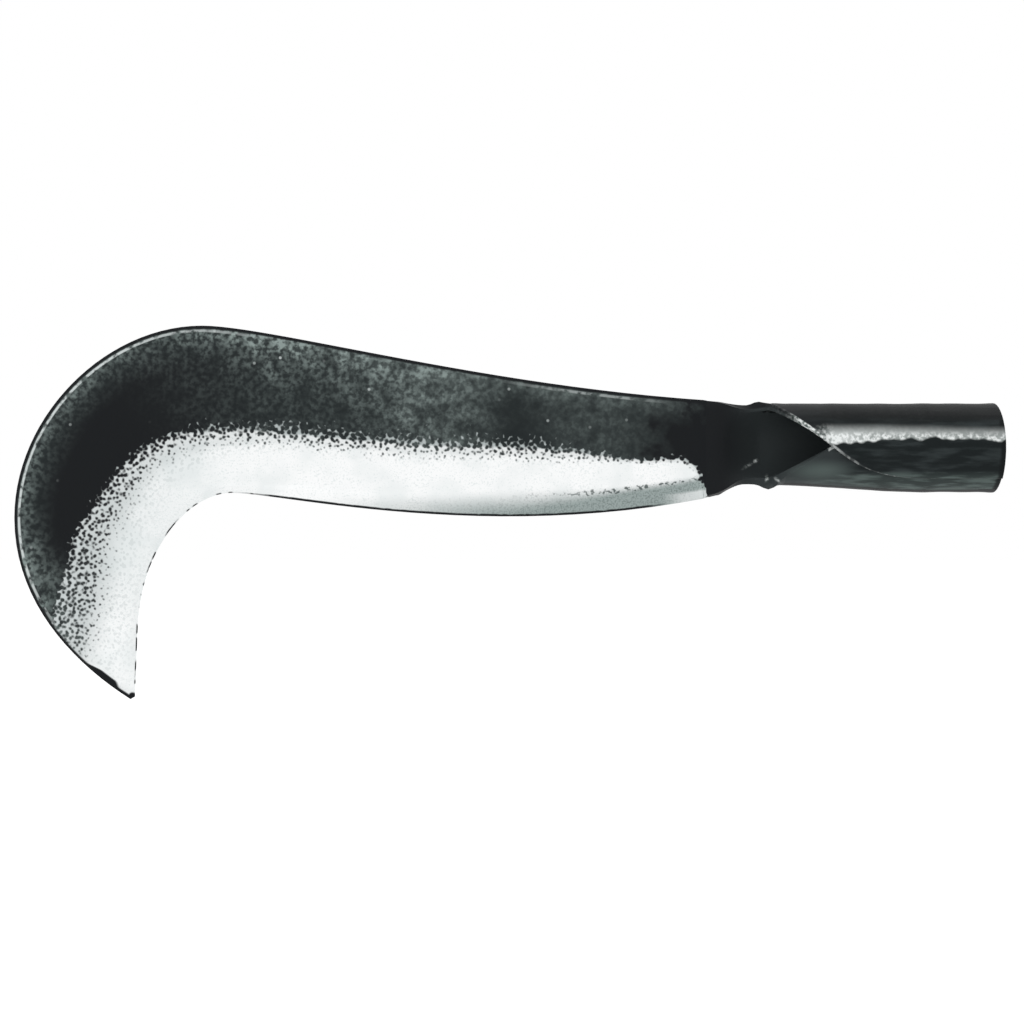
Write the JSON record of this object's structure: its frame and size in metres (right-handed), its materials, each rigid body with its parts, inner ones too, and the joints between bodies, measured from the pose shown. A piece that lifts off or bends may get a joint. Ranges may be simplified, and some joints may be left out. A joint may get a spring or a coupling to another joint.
{
  "type": "billhook head",
  "caption": "Socketed billhook head with a beaked hooked blade, a ground inner edge and a rolled, lapped socket for a wooden haft.",
  "frame": {"origin": "centre of the socket mouth, on the axis of the haft", "axes": "+X along the haft axis and out of the socket mouth, +Z towards the spine, +Y towards the back of the tool; the hook points to -Z"},
  "size_m": [0.3505, 0.0329, 0.1342],
  "materials": {
    "scaled_iron": "black forge scale with a mottled grey bloom, ground bright along the bevel",
    "ground_steel": "bright ground bevel with a honed strip along the edge",
    "black_iron": "smooth black scale, worn bright on the seam and ridges"
  },
  "bodies": {
    "root": {"blade_body": "scaled_iron", "cutting_edge": "ground_steel", "socket": "black_iron"}
  },
  "joints": []
}
